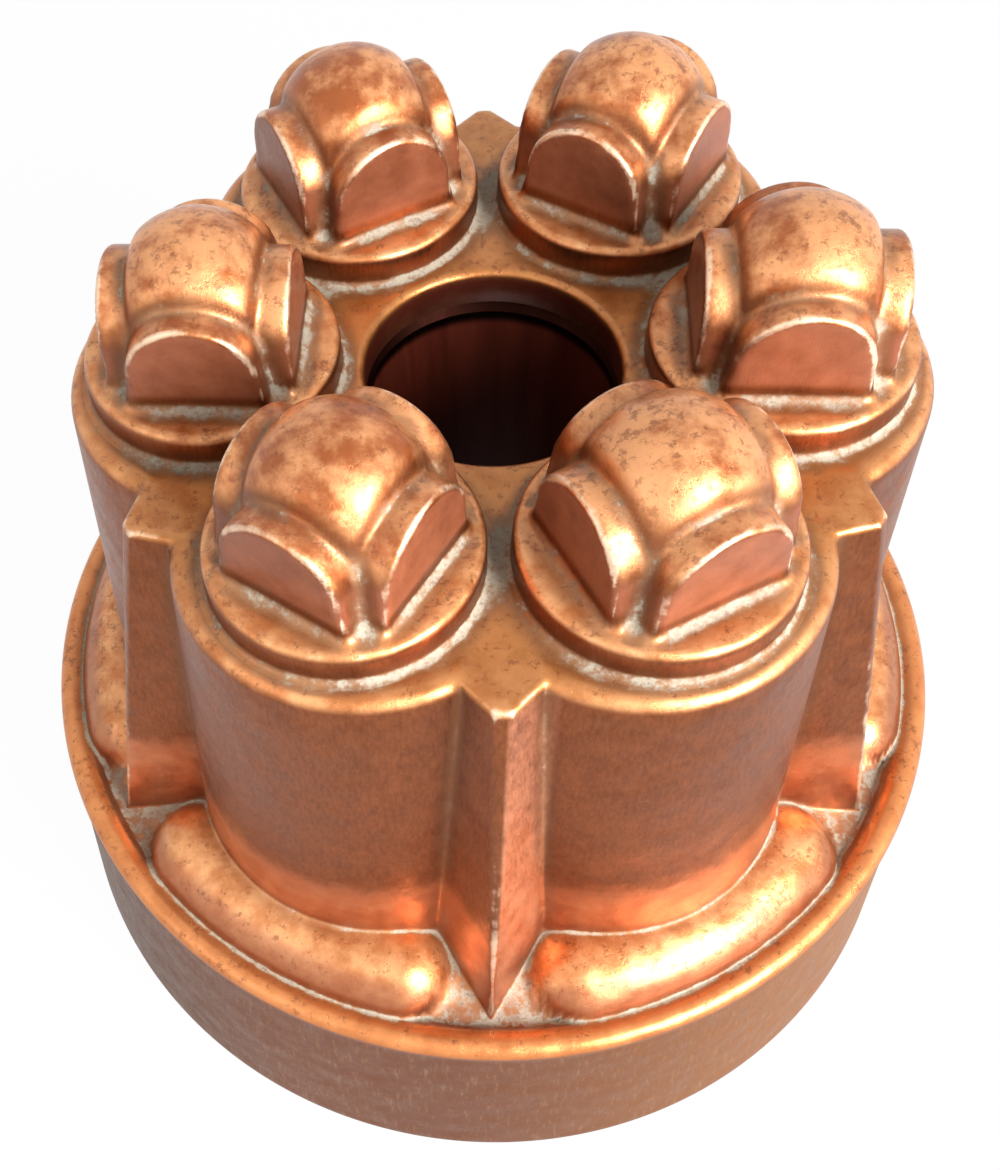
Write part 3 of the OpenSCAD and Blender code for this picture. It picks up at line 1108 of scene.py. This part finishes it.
# %% Painted edge highlights, darker hollows, dried polish and pits
EDGE_PAINTED_HIGHLIGHT = screen(255, 226, 194)
HOLLOW_BROWN = screen(116, 74, 46)
OLD_POLISH, DRY_POLISH = screen(142, 114, 88), screen(196, 198, 182)
PIT = screen(120, 66, 38)


def polish_mask(spot):
    """Dried polish: wide in hollows, most of it high up, and thin in creases."""
    lies = 0.1 + ramp(spot.up, 0.05, 0.4) * 0.9
    uneven = (spot.smear - 0.5) * 0.6 + (spot.grain - 0.5) * 0.25
    deep = ramp(spot.hollow + uneven, 0.28, 0.7) * lies * spot.high
    thin = ramp(spot.crease + uneven, 0.36, 0.66) * 0.8
    low = ramp(spot.height, CREASE_Z + 3.9, CREASE_Z + 2.3) * ramp(spot.up, 0.6, 0.9)
    low = low * ramp(spot.far, CREASE_R - 0.3, CREASE_R - 1.3)
    low = low * ramp(spot.smear * 0.5 + spot.pits * 0.5, 0.3, 0.6) * 0.9
    return (deep + thin * (lies * 0.6 + 0.4) + low).clamped()


def worn(spot, colour, dirt, specks):
    # Painted highlight: edges that stand out are painted nearly white.
    bright = ramp(spot.edge + (spot.patch - 0.5) * 0.7, 0.4, 0.62)
    colour = blend(bright * 0.7, colour, EDGE_PAINTED_HIGHLIGHT)
    # Hollows are made darker brown, more so high up.
    hollow_darkening = ramp(spot.hollow + (spot.patch - 0.5) * 0.4, 0.08, 0.45) * 0.6
    colour = blend(hollow_darkening * (spot.high * 0.7 + 0.3), colour, HOLLOW_BROWN)
    chalk = dirt * 0.5 + spot.grain * 0.3 + (spot.pits - 0.5) * 0.9
    polish = blend(ramp(chalk, 0.3, 0.85), OLD_POLISH, DRY_POLISH)
    colour = blend(dirt * 0.78, colour, polish)
    return blend(specks, colour, PIT)


# %% [markdown]
# The layers are laid over each other. Dried polish and the dull faces are less metallic
# than bare copper. A film of wax on the upper faces gives them the white glints that
# bare copper, whose highlights are copper coloured, can't have.

# %% Worn copper
COPPER_BUMP = 0.45
COPPER_RELIEF = 0.0006


def copper_relief(spot, specks):
    """Hammer dents, fine scratches and pits, as a bump."""
    dents = noise(spot.mm, 0.16, 1.0)
    scratch = noise(stretched(spot.mm, (1.0, 1.0, 0.2)), 3.0, 3.0, 0.7)
    surface = dents * 1.6 + scratch * 0.08 + spot.grain * 0.08 - specks * 0.12
    sockets = {"Strength": COPPER_BUMP, "Distance": COPPER_RELIEF, "Height": surface}
    return surface.node("ShaderNodeBump", sockets=sockets)


def finish_copper(material):
    w, shader = new_tree(material)
    spot = Spot(w)
    lit_flank_mask, dirt = painted_lit_flank(spot), polish_mask(spot)
    on_band, in_collar = band_mask(spot), collar_mask(spot)
    specks = ramp(spot.pits + (spot.broad - 0.5) * 0.2, 0.53, 0.66) * spot.top * 0.6
    colour = with_base(spot, walls_and_tops(spot, lit_flank_mask))
    colour = with_crown(spot, colour)
    colour = blend(on_band, colour, band_colour(spot))
    colour = blend(in_collar, colour, COLLAR_INSIDE)
    colour = worn(spot, colour, dirt, specks)
    rough = 0.38 + dirt * 0.4 + on_band * 0.1 + (spot.grain - 0.5) * 0.3 + (spot.patch - 0.5) * 0.3
    metal = 0.7 + (1.0 - spot.top) * 0.22 - spot.face * 0.57 - lit_flank_mask * 0.4 - dirt * 0.6
    metal = metal - in_collar * 0.5
    film = (spot.top * 0.4 * (1.0 - dirt)).clamped()
    w.feed(shader, {"Base Color": colour, "Roughness": rough.clamped(), "Metallic": metal.clamped()})
    w.feed(shader, {"Coat Weight": film, "Coat Roughness": 0.2, "Specular IOR Level": 0.3})
    w.feed(shader, {"Normal": copper_relief(spot, specks)})
    print("Nodes in the copper:", len(material.node_tree.nodes))


# %% [markdown]
# ## Tinning and the tube
#
# Copper is tinned inside, because it would taint food. Old tin is cloudy grey, and the
# copper shows through where it is worn. The tube's inside is never polished, so it is
# dark red brown, with streaks that run down it. Its top, just under the collar, is
# painted nearly black as painted shade. Both are plain noises on Object coordinates, as
# neither has a drawn pattern.

# %% Tinning
def finish_tin(material):
    w, shader = new_tree(material)
    mm = in_mm(w)
    cloud = noise(mm, 0.12, 4.0)
    bare = ramp(noise(mm, 0.3, 5.0, 0.7), 0.56, 0.7)
    grey = blend(cloud, screen(128, 124, 116), screen(186, 182, 172))
    colour = blend(bare * 0.6, grey, screen(150, 104, 78))
    bump = w.node("ShaderNodeBump", sockets={"Strength": 0.3, "Distance": 0.0004, "Height": cloud})
    w.feed(shader, {"Base Color": colour, "Roughness": 0.32 + cloud * 0.25, "Metallic": 0.9})
    w.feed(shader, {"Normal": bump})


# %% Dark copper inside the tube
def finish_tube(material):
    w, shader = new_tree(material)
    mm = in_mm(w)
    streak = noise(stretched(mm, (1.0, 1.0, 0.08)), 0.5, 4.0, 0.65)
    colour = blend(streak, screen(58, 17, 9), screen(120, 48, 28))
    # Painted shade: the tube's top, under the collar, is painted nearly black.
    tube_top_shade = ramp(along_axes(mm)[2], DECK_Z - 8.5, DECK_Z - 7.0)
    colour = blend(tube_top_shade, colour, screen(30, 12, 8))
    w.feed(shader, {"Base Color": colour, "Roughness": 0.3 + streak * 0.3})
    w.feed(shader, {"Metallic": 0.35 + tube_top_shade * 0.65})


finish_copper(copper)
finish_tin(tin)
tube_finish = bpy.data.materials.new("dark_copper")
finish_tube(tube_finish)
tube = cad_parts["centre_tube"]
for slot in tube.material_slots:
    slot.material = tube_finish

# %% [markdown]
# ## Studio
#
# The mould stands on a white floor under soft light, as in a seller's photo. The key
# light is a large softbox in front, to the right and above. A brighter world would
# whiten the background too, but it would wash out the copper. So world and floor are
# white to the camera and in reflections, and dimmer as a light.

# %% Floor, world and lights
FLOOR_SIZE = 6.0
FLOOR_WHITE = 0.97
WORLD_LIGHT = 0.35
KEY_POWER = 15.0
FILL_POWER = 1.0
MIDDLE = (0, 0, 0.06)


def white_to_the_eye(w, dim, white, share=1.0):
    """White to camera, glossy and transmission rays, by share, and dim to all others."""
    path = w.tree.nodes.new("ShaderNodeLightPath").outputs
    seen = Wire(w.tree, path["Is Camera Ray"]) + Wire(w.tree, path["Is Glossy Ray"])
    seen = (seen + Wire(w.tree, path["Is Transmission Ray"])).clamped()
    return w.node("ShaderNodeMixShader", sockets={0: seen * share, 1: dim, 2: white})


def build_floor():
    bpy.ops.mesh.primitive_plane_add(size=FLOOR_SIZE)
    floor = bpy.context.object
    floor.name = "floor"
    material = bpy.data.materials.new("white_floor")
    w = emptied(material)
    matt = w.node("ShaderNodeBsdfDiffuse", sockets={"Color": (0.86, 0.86, 0.86, 1)})
    white = w.node("ShaderNodeEmission", sockets={"Color": (1, 1, 1, 1), "Strength": 1.0})
    surface = white_to_the_eye(w, matt, white, FLOOR_WHITE)
    w.node("ShaderNodeOutputMaterial", sockets={"Surface": surface})
    floor.data.materials.append(material)


def build_world(strength):
    world = bpy.data.worlds.new("studio")
    bpy.context.scene.world = world
    w = emptied(world)
    dim = w.node("ShaderNodeBackground", sockets={"Color": (1, 1, 1, 1), "Strength": strength})
    white = w.node("ShaderNodeBackground", sockets={"Color": (1, 1, 1, 1), "Strength": 1.0})
    w.node("ShaderNodeOutputWorld", sockets={"Surface": white_to_the_eye(w, dim, white)})


def add_softbox(name, place, aim, size, power):
    light = bpy.data.lights.new(name, "AREA")
    light.shape = "RECTANGLE"
    light.size, light.size_y = size
    light.energy = power
    lamp = bpy.data.objects.new(name, light)
    lamp.location = place
    lamp.rotation_euler = (Vector(aim) - Vector(place)).to_track_quat("-Z", "Y").to_euler()
    bpy.context.scene.collection.objects.link(lamp)


build_floor()
build_world(WORLD_LIGHT)
add_softbox("key", (0.5, -0.52, 0.42), MIDDLE, (0.4, 0.5), KEY_POWER)
add_softbox("fill", (-0.6, -0.5, 0.5), MIDDLE, (0.6, 0.6), FILL_POWER)

# %% [markdown]
# ## Camera
#
# The camera stands where the photographer's did: its place and lens were worked out
# from the circles of the ledge, the hole and the mouth. The photo's frame isn't
# centred on the lens's axis, so a small shift moves the frame and not the view.

# %% Camera
PHOTO_W = 1000
PHOTO_H = 1170
FOCAL_PX = 1326.41
AXIS_PX = (351.56, 633.84)
EYE_MM = (-5.75, -109.9, 206.86)
RIGHT = Vector((0.9975, 0.0327, -0.062)).normalized()
UP = Vector((0.0056, 0.8446, 0.5354))


def add_camera():
    lens = bpy.data.cameras.new("camera")
    lens.sensor_fit = "HORIZONTAL"
    lens.lens = FOCAL_PX * lens.sensor_width / PHOTO_W
    lens.shift_x = (PHOTO_W / 2 - AXIS_PX[0]) / PHOTO_W
    lens.shift_y = (AXIS_PX[1] - PHOTO_H / 2) / PHOTO_W
    lens.clip_start = 0.01
    camera = bpy.data.objects.new("camera", lens)
    back = RIGHT.cross(UP).normalized()
    up = back.cross(RIGHT)
    turn = Matrix((RIGHT, up, back)).transposed().to_4x4()
    camera.matrix_world = Matrix.Translation(Vector(EYE_MM) * MM) @ turn
    bpy.context.scene.collection.objects.link(camera)
    bpy.context.scene.camera = camera
    print("Camera", [round(v, 4) for v in camera.location], "lens", round(lens.lens, 2))


add_camera()

# %% [markdown]
# ## Colours on the screen
#
# The Standard view shows the colours as they were chosen. A filmic view would be softer
# in the highlights, but it would pull every copper tone towards grey.

# %% Colour view
view = bpy.context.scene.view_settings
view.view_transform = "Standard"
